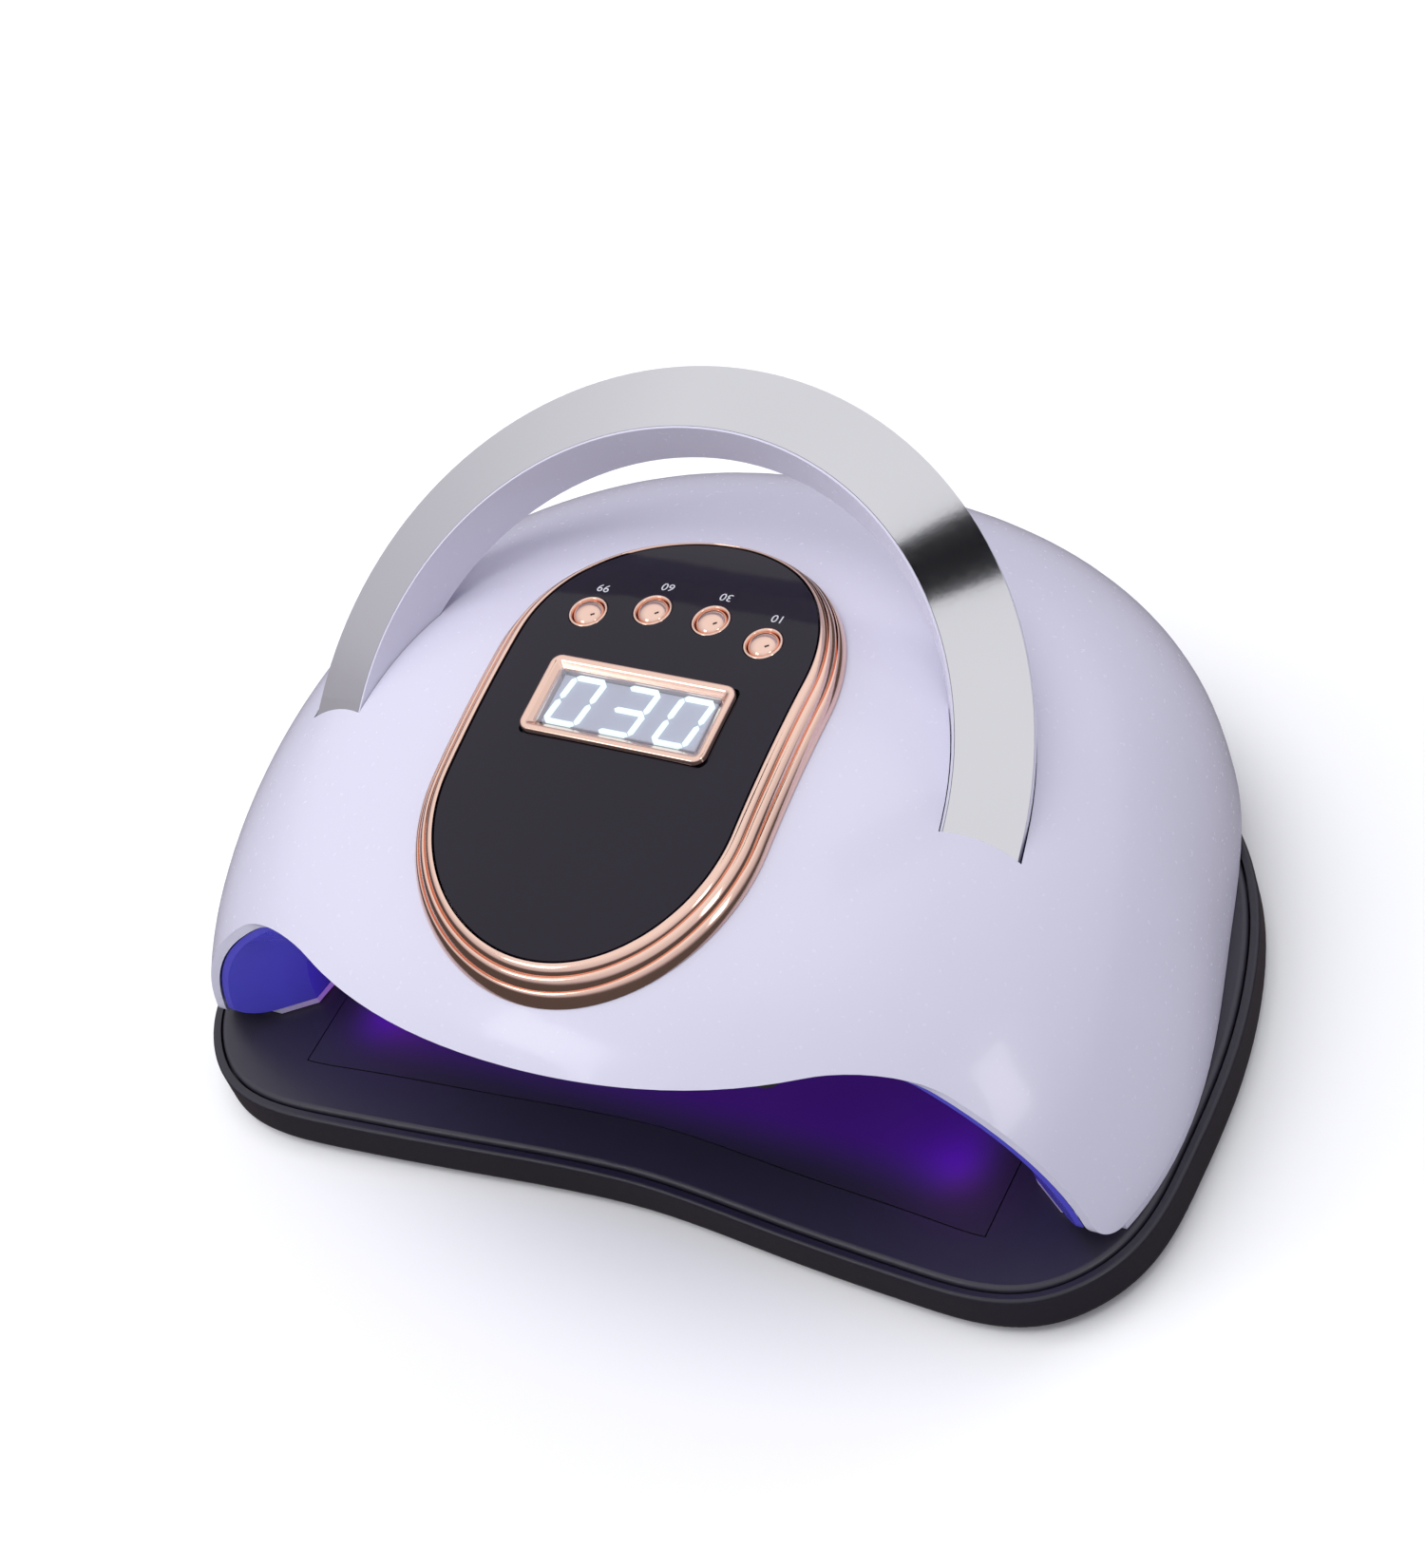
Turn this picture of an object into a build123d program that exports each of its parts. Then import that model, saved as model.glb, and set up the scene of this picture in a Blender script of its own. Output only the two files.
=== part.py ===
from build123d import *
import math
import os

os.makedirs("parts", exist_ok=True)

# UV LED nail lamp: a domed shell with a carrying handle, standing on a loose base.
# X runs across the lamp, +Y to its back, +Z up. The origin is on the floor, under
# the middle of the base. All sizes are in millimetres.

# ------------------------------------------------------------------ base sizes
# Half of the base outline, from the front middle round to the back middle.
base_half_outline = [
    (0.0, -82.0),
    (38.0, -84.6),
    (74.0, -87.3),
    (102.0, -84.0),
    (116.8, -67.5),
    (120.4, -42.5),
    (119.9, -18.0),
    (115.5, 8.0),
    (106.5, 31.0),
    (91.0, 50.5),
    (67.0, 69.0),
    (36.0, 82.5),
    (0.0, 87.5),
]
foot_height = 2.2
foot_radius = 7.0
foot_seat_depth = 1.0
foot_seat_gap = 0.2
foot_front_x = 88.0
foot_front_y = -62.0
foot_back_x = 62.0
foot_back_y = 54.0
tray_floor = 2.0
tray_rim_z = 12.2
tray_rim = 2.0
tray_ledge_width = 3.0
tray_ledge_drop = 3.3
tray_edge_round = 2.2
tray_top_round = 0.8
plate_gap = 0.5
plate_seat_gap = 0.1
plate_thickness = 4.0
plate_edge_round = 1.2
sheet_thickness = 0.8
sheet_clearance = 0.3
sheet_inset = 15.0
sheet_back_y = 42.0
sheet_half_width = 86.0
magnet_radius = 5.0
magnet_height = 2.0
magnet_gap = 0.1
magnet_front_x = 104.0
magnet_front_y = -38.0
magnet_back_x = 50.0
magnet_back_y = 64.0
catch_thickness = 1.0
tray_boss_radius = 4.0
tray_screw_front_x = 52.0
tray_screw_front_y = -52.0
tray_screw_back_x = 48.0
tray_screw_back_y = 24.0
tray_screw_bite = 1.6

# ----------------------------------------------------------------- shell sizes
# Each station is (y, half width, top z, roundness of the arch).
skirt_z = 10.0
shell_stations = [
    (-102.0, 80.0, 54.0, 2.00),
    (-92.0, 92.5, 66.7, 2.00),
    (-72.0, 110.5, 81.2, 2.10),
    (-46.0, 117.4, 89.0, 2.43),
    (-18.0, 115.4, 93.0, 2.87),
    (10.0, 108.5, 93.4, 3.20),
    (37.0, 101.0, 88.0, 3.05),
    (60.0, 90.0, 79.4, 2.70),
    (73.0, 78.0, 71.4, 2.50),
    (82.0, 63.5, 60.0, 2.40),
]
shell_back_y = 82.0
shell_wall = 2.2
shell_foot_z = 15.0
hem_z = 66.4
hem_side_y = -69.3
hem_corner = 9.0
hem_foot_round = 6.0
arch_half_count = 6

# ----------------------------------------------------------- lower frame sizes
frame_gap = 0.3
frame_seat = 0.1
spigot_wall = 1.8
spigot_height = 5.0
spigot_front_y = -40.0
fit_gap = 0.3
boss_radius = 3.8
boss_front_x = 103.0
boss_front_y = -16.0
boss_back_x = 66.0
boss_back_y = 62.0
pad_radius = 5.2
pad_height = 4.0
screw_radius = 1.2
screw_bore_gap = 0.1
screw_head_radius = 2.5
screw_head_height = 1.6
screw_head_gap = 0.2
screw_length = 9.0

# ------------------------------------------------------------ light hood sizes
hood_wall = 1.6
hood_setback = 0.3
hood_front_y = -73.0
hood_seat = 0.2
hood_stations = [
    (-76.0, 105.0, 76.2, 2.05),
    (-69.0, 109.0, 79.6, 2.15),
    (-58.0, 93.5, 65.5, 2.40),
    (-40.0, 90.5, 59.5, 2.50),
    (-28.0, 89.5, 58.0, 2.50),
    (-9.0, 88.5, 56.5, 2.60),
    (10.0, 87.0, 56.0, 2.60),
    (30.0, 84.0, 55.0, 2.60),
    (50.0, 77.0, 53.0, 2.60),
]
hood_back_y = 50.0
led_rows = [4, 5, 6, 7]
led_radius = 2.4
led_hole_gap = 0.2
led_stand = 1.8
led_count = 9
led_first_angle = 17.0
strip_gap = 1.25
led_seat_gap = 0.45
strip_thickness = 1.0
strip_width = 7.0
strip_foot_z = 20.0
hood_post_radius = 2.6
hood_post_x = 34.0
hood_post_front_y = 0.5
hood_post_back_y = 20.0
driver_z = 62.0
driver_thickness = 1.6
driver_half_width = 40.0
driver_margin = 5.0
driver_screw_length = 5.0
capacitor_radius = 5.0
capacitor_height = 11.0
capacitor_pitch = 13.0
coil_size = 12.0
coil_corner = 1.0
coil_height = 8.0
coil_x = -18.0
lead_gap = 0.1

# --------------------------------------------------------- control panel sizes
panel_half_width = 34.3
panel_front_y = -76.6
panel_back_y = 29.2
panel_rise = 4.9
panel_thickness = 2.0
panel_fit = 0.25
bezel_seat = 0.2
bezel_ledge = 2.4
rib_count = 3
rib_side = 2.1
rib_front = 1.9
rib_back = 0.8
rib_step = 1.6
rib_lip = 0.5
display_y = -20.6
display_z = 98.0
display_tilt = 6.0
display_width = 45.0
display_depth = 19.8
display_corner = 1.6
frame_border = 3.0
frame_rise = 0.9
frame_height = 4.4
frame_ledge = 0.5
display_fit = 0.2
window_thickness = 1.0
window_drop = 0.7
module_drop = 0.6
module_height = 6.4
module_margin = 0.6
digit_width = 8.4
digit_height = 11.4
digit_stroke = 1.5
digit_pitch = 12.2
digit_slant = 11.0
digit_bar_trim = 1.35
digit_flat_trim = 2.1
digit_thickness = 0.4
digit_gap = 0.05
button_outer_x = 21.5
button_outer_y = 2.3
button_inner_x = 7.2
button_inner_y = 5.8
button_seat_z = 98.3
collar_radius = 4.4
collar_wall = 0.75
collar_rise = 0.55
collar_fit = 0.1
button_gap = 0.10
button_dome = 1.5
button_travel = 0.6
button_rest_gap = 0.05
stem_radius = 1.5
flange_extra = 0.9
flange_height = 0.8
flange_drop = 0.25
board_z = 84.0
board_thickness = 1.6
board_half_width = 33.0
board_front_y = -42.0
board_back_y = 20.0
board_gap = 0.1
post_radius = 2.8
post_inset = 4.0
cutout_half_width = 25.0
cutout_front_y = -32.0
cutout_back_y = 11.0
switch_size = 6.0
switch_height = 3.4
plunger_radius = 1.6
plunger_height = 1.2

# ---------------------------------------------------------------- handle sizes
handle_radius = 79.2
handle_foot_y = -21.3
handle_foot_rise = 0.84567
handle_lean = 32.2
handle_face_tilt = 23.5
handle_width = 17.2
handle_depth = 10.5
handle_leg = 20.0
handle_fit = 0.25
handle_back_round = 3.0
trim_thickness = 1.2
trim_gap = 0.1
trim_inset = 0.5
tab_thickness = 2.0
tab_width = 14.0
tab_height = 9.0
tab_corner = 2.0
handle_screw_drop = 6.5

# ---------------------------------------------------------- back panel, fittings
back_half_width = 34.0
back_low_z = 25.0
back_high_z = 45.0
back_corner = 4.0
back_flange = 3.0
back_flange_side = 6.0
back_plate = 1.8
back_screw_x = 37.0
back_screw_bite = 1.8
vent_count = 7
vent_width = 2.6
vent_height = 13.0
vent_pitch = 5.0
vent_x = 6.0
jack_x = -15.0
jack_collar_radius = 6.0
jack_collar_rise = 0.4
jack_bore_radius = 2.85
jack_bore_depth = 9.5
jack_size = 12.0
jack_body_extra = 2.0
jack_length = 11.0
jack_pin_radius = 1.05
jack_pin_length = 9.0
sensor_x = 51.0
sensor_y = -77.0
sensor_radius = 3.6
sensor_hang = 3.6

ledge_z = tray_rim_z - tray_ledge_drop
plate_top_z = ledge_z + plate_seat_gap + plate_thickness
frame_low_z = plate_top_z + frame_gap
frame_high_z = shell_foot_z - frame_seat
hood_foot_z = frame_high_z + hood_seat
far = 2 * base_half_outline[5][0]


# The closed base outline, moved inwards by the inset.
def base_outline(inset):
    half = base_half_outline
    ring = half + [(-x, y) for x, y in half[-2:0:-1]]
    moved = []
    for i, (x, y) in enumerate(ring):
        before = ring[i - 1]
        after = ring[(i + 1) % len(ring)]
        run = math.hypot(after[0] - before[0], after[1] - before[1])
        out_x = (after[1] - before[1]) / run
        out_y = (before[0] - after[0]) / run
        moved.append((x - inset * out_x, y - inset * out_y))
    return moved


def base_block(inset, low_z, high_z):
    with BuildPart(mode=Mode.PRIVATE) as body:
        with BuildSketch(Plane.XY.offset(low_z)):
            with BuildLine():
                Spline(*base_outline(inset), periodic=True)
            make_face()
        extrude(amount=high_z - low_z)
    return body.part


# One arch in the XZ plane, from its right foot over the top to its left foot.
def arch_points(half_width, top_z, power):
    count = 2 * arch_half_count
    points = []
    for i in range(count + 1):
        turn = math.pi * i / count
        x = half_width * math.copysign(abs(math.cos(turn)) ** (2 / power), math.cos(turn))
        z = skirt_z + (top_z - skirt_z) * abs(math.sin(turn)) ** (2 / power)
        points.append((x, z))
    return points


# Both halves of an arch run up from the foot, so that left and right are alike.
def arch_line(points):
    crown = arch_half_count
    Spline(*points[: crown + 1], tangents=[(0, 1), (-1, 0)], tangent_scalars=(1, 1))
    Spline(*points[: crown - 1 : -1], tangents=[(0, 1), (1, 0)], tangent_scalars=(1, 1))
    Line(points[-1], points[0])


# A closed solid through all the arches, grown by the given amount.
def arch_solid(stations, grow, ruled=False):
    with BuildPart(mode=Mode.PRIVATE) as body:
        for y, half_width, top_z, power in stations:
            points = arch_points(half_width + grow, top_z + grow, power)
            with BuildSketch(Plane.XZ.offset(-y)):
                with BuildLine():
                    arch_line(points)
                make_face()
        loft(ruled=ruled)
    return body.part


# A block right across the lamp, between two values of y and two of z.
def slab(low_y, high_y, low_z, high_z):
    with BuildPart(mode=Mode.PRIVATE) as body:
        with Locations((0, (low_y + high_y) / 2, (low_z + high_z) / 2)):
            Box(2 * far, high_y - low_y, high_z - low_z)
    return body.part


def upright_block(half_width, low_y, high_y, low_z, high_z):
    with BuildPart(mode=Mode.PRIVATE) as body:
        with Locations((0, (low_y + high_y) / 2, (low_z + high_z) / 2)):
            Box(2 * half_width, high_y - low_y, high_z - low_z)
    return body.part


# A round-ended upright block over the control panel.
def panel_block(half_width, front_y, back_y, low_z, high_z):
    with BuildPart(mode=Mode.PRIVATE) as body:
        with BuildSketch(Plane.XY.offset(low_z)):
            with Locations((0, (front_y + back_y) / 2)):
                SlotOverall(back_y - front_y, 2 * half_width, rotation=90)
        extrude(amount=high_z - low_z)
    return body.part


# What is taken away under the visor and in front of the side walls.
def hem_block(setback):
    with BuildPart(mode=Mode.PRIVATE) as body:
        with BuildSketch(Plane.YZ.offset(-far)):
            with BuildLine():
                FilletPolyline(
                    (-far, hem_z + setback),
                    (hem_side_y + setback, hem_z + setback),
                    (hem_side_y + setback, shell_foot_z + hem_foot_round),
                    radius=hem_corner,
                )
                TangentArc(
                    (hem_side_y + setback, shell_foot_z + hem_foot_round),
                    (hem_side_y + setback + hem_foot_round, shell_foot_z),
                    tangent=(0, -1),
                )
                Polyline(
                    (hem_side_y + setback + hem_foot_round, shell_foot_z),
                    (hem_side_y + setback + hem_foot_round, -far),
                    (-far, -far),
                    (-far, hem_z + setback),
                )
            make_face()
        extrude(amount=2 * far)
    return body.part


def mirrored_pairs(front_x, front_y, back_x, back_y):
    return [(-front_x, front_y), (front_x, front_y), (-back_x, back_y), (back_x, back_y)]


boss_spots = mirrored_pairs(boss_front_x, boss_front_y, boss_back_x, boss_back_y)
foot_spots = mirrored_pairs(foot_front_x, foot_front_y, foot_back_x, foot_back_y)
foot_spots.append((0.0, 0.0))
magnet_spots = mirrored_pairs(magnet_front_x, magnet_front_y, magnet_back_x, magnet_back_y)
hood_posts = mirrored_pairs(hood_post_x, hood_post_front_y, hood_post_x, hood_post_back_y)
tray_screw_spots = mirrored_pairs(
    tray_screw_front_x,
    tray_screw_front_y,
    tray_screw_back_x,
    tray_screw_back_y,
)
board_posts = mirrored_pairs(
    board_half_width - post_inset,
    board_front_y + post_inset,
    board_half_width - post_inset,
    board_back_y - post_inset,
)
button_spots = [
    ("button_99", -button_outer_x, button_outer_y),
    ("button_60", -button_inner_x, button_inner_y),
    ("button_30", button_inner_x, button_inner_y),
    ("button_10", button_outer_x, button_outer_y),
]
button_places = [(x, y) for name, x, y in button_spots]
back_middle_z = (back_low_z + back_high_z) / 2
back_screw_spots = [(-back_screw_x, back_middle_z), (back_screw_x, back_middle_z)]

shell_outer = arch_solid(shell_stations, 0)
shell_inner = arch_solid(shell_stations, -shell_wall)
hood_outer = arch_solid(hood_stations, 0, ruled=True)
hood_inner = arch_solid(hood_stations, -hood_wall, ruled=True)
shell_hollow = shell_inner & slab(-far, shell_back_y - shell_wall, 0, far)
hood_hollow = hood_inner & slab(-far, hood_back_y - hood_wall, 0, far)



# The height of the shell's outside over a point, from the sections before and behind it.
def shell_height(x, y):
    for front, back in zip(shell_stations, shell_stations[1:]):
        if front[0] <= y <= back[0]:
            share = (y - front[0]) / (back[0] - front[0])
            half_width, top, power = [a + (b - a) * share for a, b in zip(front[1:], back[1:])]
    reach = min(abs(x) / half_width, 1)
    return skirt_z + (top - skirt_z) * (1 - reach**power) ** (1 / power)


# ------------------------------------------------------------------ handle path
# The feet keep their height over the shell when the handle gets wider.
handle_foot_z = shell_height(handle_radius, handle_foot_y) + handle_foot_rise
handle_plane = Plane(
    origin=(0, handle_foot_y, handle_foot_z),
    x_dir=(1, 0, 0),
    z_dir=(0, -math.sin(math.radians(handle_lean)), math.cos(math.radians(handle_lean))),
)
leg_plane = Plane(
    origin=handle_plane.from_local_coords((handle_radius, -handle_leg, 0)),
    x_dir=(1, 0, 0),
    z_dir=handle_plane.y_dir,
)
face_turn = math.radians(handle_face_tilt)


# A point of the handle's section: along its face, and below its face.
def section_point(along, below):
    x = along * math.cos(face_turn) - below * math.sin(face_turn)
    y = along * math.sin(face_turn) + below * math.cos(face_turn)
    return (x, y)


def handle_section(half_width, top, bottom, corner):
    with BuildSketch(leg_plane, mode=Mode.PRIVATE) as section:
        with BuildLine():
            Polyline(
                section_point(-half_width, top),
                section_point(half_width, top),
                section_point(half_width, bottom),
                section_point(-half_width, bottom),
                close=True,
            )
        make_face()
        if corner > 0:
            low = section.vertices().sort_by_distance(
                leg_plane.from_local_coords(section_point(0, 4 * handle_depth))
            )
            fillet(low[0:2], radius=corner)
    return section.sketch


with BuildLine(handle_plane) as handle_path:
    Line((handle_radius, -handle_leg), (handle_radius, 0))
    ThreePointArc((handle_radius, 0), (0, handle_radius), (-handle_radius, 0))
    Line((-handle_radius, 0), (-handle_radius, -handle_leg))

# ------------------------------------------------------------------ handle body
half_face = handle_width / 2
with BuildPart() as handle_body:
    sweep(
        sections=handle_section(half_face, 0, handle_depth, handle_back_round),
        path=handle_path.wire(),
    )
    sweep(
        sections=handle_section(half_face - trim_inset, -1, trim_thickness + trim_gap, 0),
        path=handle_path.wire(),
        mode=Mode.SUBTRACT,
    )
    for side in (-1, 1):
        bore_spot = handle_plane.from_local_coords((side * handle_radius, -handle_leg, -handle_screw_drop))
        with BuildSketch(Plane(origin=bore_spot, x_dir=(1, 0, 0), z_dir=handle_plane.y_dir)):
            Circle(screw_radius + screw_bore_gap)
        extrude(amount=screw_length, mode=Mode.SUBTRACT)
handle_body.part.label = "handle_body"
export_step(handle_body.part, "parts/handle_body.step")

with BuildPart() as handle_trim:
    sweep(
        sections=handle_section(half_face - trim_inset - trim_gap, 0, trim_thickness, 0),
        path=handle_path.wire(),
    )
handle_trim.part.label = "handle_trim"
export_step(handle_trim.part, "parts/handle_trim.step")

handle_socket = sweep(
    sections=handle_section(half_face + handle_fit, -handle_fit, handle_depth + handle_fit, 0),
    path=handle_path.wire(),
)

# Plates that lock the legs inside the shell, and their screws.
with BuildPart() as handle_tabs:
    for side in (-1, 1):
        end = handle_plane.from_local_coords((side * handle_radius, -handle_leg - trim_gap, 0))
        with BuildSketch(Plane(origin=end, x_dir=(1, 0, 0), z_dir=-handle_plane.y_dir)):
            with Locations((0, -handle_screw_drop)):
                RectangleRounded(tab_width, tab_height, tab_corner)
                Circle(screw_radius + screw_bore_gap, mode=Mode.SUBTRACT)
        extrude(amount=tab_thickness)
handle_tabs.part.label = "handle_tabs"
export_step(handle_tabs.part, "parts/handle_tabs.step")

with BuildPart() as handle_screws:
    for side in (-1, 1):
        low = -handle_leg - 2 * trim_gap - tab_thickness
        seat = handle_plane.from_local_coords((side * handle_radius, low, -handle_screw_drop))
        with BuildSketch(Plane(origin=seat, x_dir=(1, 0, 0), z_dir=-handle_plane.y_dir)):
            Circle(screw_head_radius)
        extrude(amount=screw_head_height)
        with BuildSketch(Plane(origin=seat, x_dir=(1, 0, 0), z_dir=handle_plane.y_dir)):
            Circle(screw_radius)
        extrude(amount=screw_length)
handle_screws.part.label = "handle_screws"
export_step(handle_screws.part, "parts/handle_screws.step")

# -------------------------------------------------------------------- top shell
boss_low_z = frame_low_z + pad_height + fit_gap
boss_core = arch_solid(shell_stations, -shell_wall / 2)
with BuildPart() as shell_bosses:
    with BuildSketch(Plane.XY.offset(boss_low_z)):
        with Locations(*boss_spots):
            Circle(boss_radius)
    extrude(amount=far)
    with BuildSketch(Plane.XY.offset(board_z + board_thickness + board_gap)):
        with Locations(*board_posts):
            Circle(post_radius)
    extrude(amount=far)
with BuildPart() as top_shell:
    add(shell_outer)
    add(shell_hollow, mode=Mode.SUBTRACT)
    add(shell_bosses.part & boss_core)
    add(hem_block(0), mode=Mode.SUBTRACT)
    add(slab(-far, far, 0, shell_foot_z), mode=Mode.SUBTRACT)
    with BuildSketch(Plane.XY.offset(boss_low_z)):
        with Locations(*boss_spots):
            Circle(screw_radius + screw_bore_gap)
    extrude(amount=screw_length, mode=Mode.SUBTRACT)
    with BuildSketch(Plane.XY.offset(board_z + board_thickness)):
        with Locations(*board_posts):
            Circle(screw_radius + screw_bore_gap)
    extrude(amount=screw_head_height, mode=Mode.SUBTRACT)
    add(
        upright_block(cutout_half_width, cutout_front_y, cutout_back_y, board_z, far),
        mode=Mode.SUBTRACT,
    )
    add(handle_socket, mode=Mode.SUBTRACT)
    with BuildSketch(Plane.XZ.offset(-shell_back_y)):
        with Locations((0, (back_low_z + back_high_z) / 2)):
            RectangleRounded(2 * back_half_width, back_high_z - back_low_z, back_corner)
    extrude(amount=-2 * shell_wall, both=True, mode=Mode.SUBTRACT)
    with BuildSketch(Plane.XZ.offset(-(shell_back_y - shell_wall))):
        with Locations(*back_screw_spots):
            Circle(screw_radius + screw_bore_gap)
    extrude(amount=-back_screw_bite - board_gap, mode=Mode.SUBTRACT)
top_shell.part.label = "top_shell"
export_step(top_shell.part, "parts/top_shell.step")

# ------------------------------------------------------------------- lower frame
with BuildPart() as lower_frame:
    add(shell_outer & slab(hem_side_y + hem_foot_round, far, frame_low_z, frame_high_z))
    add(hood_hollow & slab(-far, hood_back_y, 0, far), mode=Mode.SUBTRACT)
    spigot_outer = arch_solid(shell_stations, -shell_wall - fit_gap)
    spigot_inner = arch_solid(shell_stations, -shell_wall - fit_gap - spigot_wall)
    spigot_back = shell_back_y - shell_wall - fit_gap
    spigot_zone = slab(spigot_front_y, spigot_back, frame_low_z, frame_high_z + spigot_height)
    spigot_hole = slab(-far, spigot_back - spigot_wall, 0, far)
    add((spigot_outer & spigot_zone) - (spigot_inner & spigot_hole))
    with BuildSketch(Plane.XY.offset(frame_low_z)):
        with Locations(*boss_spots):
            Circle(pad_radius)
    extrude(amount=pad_height)
    with BuildSketch(Plane.XY.offset(frame_low_z)):
        with Locations(*boss_spots):
            Circle(screw_radius + screw_bore_gap)
    extrude(amount=pad_height, mode=Mode.SUBTRACT)
    with BuildSketch(Plane.XY.offset(frame_low_z)):
        with Locations(*boss_spots):
            Circle(screw_head_radius + screw_head_gap)
    extrude(amount=screw_head_height + screw_head_gap, mode=Mode.SUBTRACT)
    with BuildSketch(Plane.XY.offset(frame_low_z)):
        with Locations(*magnet_spots):
            Circle(magnet_radius + magnet_gap)
    extrude(amount=catch_thickness + magnet_gap, mode=Mode.SUBTRACT)
lower_frame.part.label = "lower_frame"
export_step(lower_frame.part, "parts/lower_frame.step")

with BuildPart() as catch_plates:
    with BuildSketch(Plane.XY.offset(frame_low_z)):
        with Locations(*magnet_spots):
            Circle(magnet_radius)
    extrude(amount=catch_thickness)
catch_plates.part.label = "catch_plates"
export_step(catch_plates.part, "parts/catch_plates.step")

with BuildPart() as frame_screws:
    with BuildSketch(Plane.XY.offset(frame_low_z + screw_head_gap)):
        with Locations(*boss_spots):
            Circle(screw_head_radius)
    extrude(amount=screw_head_height - screw_bore_gap)
    with BuildSketch(Plane.XY.offset(frame_low_z + screw_head_gap)):
        with Locations(*boss_spots):
            Circle(screw_radius)
    extrude(amount=screw_length)
frame_screws.part.label = "frame_screws"
export_step(frame_screws.part, "parts/frame_screws.step")

# -------------------------------------------------------------------- light hood
# Every lamp is (foot point, inward direction) on the hood's outer face.
led_frames = []
for row in led_rows:
    row_y, row_w, row_z, power = hood_stations[row]
    rise = row_z - skirt_z
    for i in range(led_count):
        step = (180.0 - 2 * led_first_angle) / (led_count - 1)
        turn = math.radians(led_first_angle + step * i)
        x = row_w * math.copysign(abs(math.cos(turn)) ** (2 / power), math.cos(turn))
        z = skirt_z + rise * abs(math.sin(turn)) ** (2 / power)
        out_x = math.copysign(abs(x / row_w) ** (power - 1) / row_w, x)
        out_z = ((z - skirt_z) / rise) ** (power - 1) / rise
        size = math.hypot(out_x, out_z)
        led_frames.append((x, row_y, z, out_x / size, out_z / size))


def led_planes(outwards):
    planes = []
    for x, y, z, out_x, out_z in led_frames:
        spot = (x + outwards * out_x, y, z + outwards * out_z)
        planes.append(Plane(origin=spot, x_dir=(0, 1, 0), z_dir=(-out_x, 0, -out_z)))
    return planes


with BuildPart() as light_hood:
    add(hood_outer)
    with BuildSketch(Plane.XY.offset(skirt_z + 2 * hood_wall)):
        with Locations(*hood_posts):
            Circle(hood_post_radius)
    extrude(amount=driver_z - lead_gap - skirt_z - 2 * hood_wall)
    add(hood_hollow, mode=Mode.SUBTRACT)
    add(hem_block(hood_setback), mode=Mode.SUBTRACT)
    add(slab(-2 * far, hood_front_y, 0, far), mode=Mode.SUBTRACT)
    add(slab(-far, far, 0, hood_foot_z), mode=Mode.SUBTRACT)
    with Locations(*led_planes(0)):
        Cylinder(led_radius + led_hole_gap, 8 * hood_wall, mode=Mode.SUBTRACT)
    with BuildSketch(Plane.XY.offset(driver_z)):
        with Locations(*hood_posts):
            Circle(screw_radius + screw_bore_gap)
    extrude(amount=-driver_screw_length - lead_gap, mode=Mode.SUBTRACT)
light_hood.part.label = "light_hood"
export_step(light_hood.part, "parts/light_hood.step")

with BuildPart() as uv_leds:
    led_reach = strip_gap - led_seat_gap + hood_wall + led_stand
    with Locations(*led_planes(strip_gap - led_seat_gap)):
        Cylinder(
            led_radius,
            led_reach - led_radius / 2,
            align=(Align.CENTER, Align.CENTER, Align.MIN),
        )
    with Locations(*led_planes(strip_gap - led_seat_gap - led_reach + led_radius / 2)):
        Cone(
            led_radius,
            led_radius / 2,
            led_radius / 2,
            align=(Align.CENTER, Align.CENTER, Align.MIN),
        )
uv_leds.part.label = "uv_leds"
export_step(uv_leds.part, "parts/uv_leds.step")

with BuildPart() as led_strips:
    for row in led_rows:
        row_y, row_w, row_z, power = hood_stations[row]
        front = row_y - strip_width / 2
        low = arch_points(row_w + strip_gap, row_z + strip_gap, power)
        high = arch_points(
            row_w + strip_gap + strip_thickness,
            row_z + strip_gap + strip_thickness,
            power,
        )
        with BuildSketch(Plane.XZ.offset(-front)):
            with BuildLine():
                arch_line(high)
            make_face()
            with BuildLine():
                arch_line(low)
            make_face(mode=Mode.SUBTRACT)
        extrude(amount=-strip_width)
    add(slab(-far, far, 0, strip_foot_z), mode=Mode.SUBTRACT)
led_strips.part.label = "led_strips"
export_step(led_strips.part, "parts/led_strips.step")

# ------------------------------------------------------------------ driver board
driver_front = hood_post_front_y - driver_margin
driver_back = hood_post_back_y + driver_margin
with BuildPart() as driver_board:
    add(
        upright_block(
            driver_half_width,
            driver_front,
            driver_back,
            driver_z,
            driver_z + driver_thickness,
        )
    )
    with BuildSketch(Plane.XY.offset(driver_z)):
        with Locations(*hood_posts):
            Circle(screw_radius + screw_bore_gap)
    extrude(amount=driver_thickness, mode=Mode.SUBTRACT)
driver_board.part.label = "driver_board"
export_step(driver_board.part, "parts/driver_board.step")

driver_top = driver_z + driver_thickness + lead_gap
with BuildPart() as driver_screws:
    with BuildSketch(Plane.XY.offset(driver_top)):
        with Locations(*hood_posts):
            Circle(screw_head_radius)
    extrude(amount=screw_head_height)
    with BuildSketch(Plane.XY.offset(driver_top)):
        with Locations(*hood_posts):
            Circle(screw_radius)
    extrude(amount=-driver_screw_length)
driver_screws.part.label = "driver_screws"
export_step(driver_screws.part, "parts/driver_screws.step")

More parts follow.
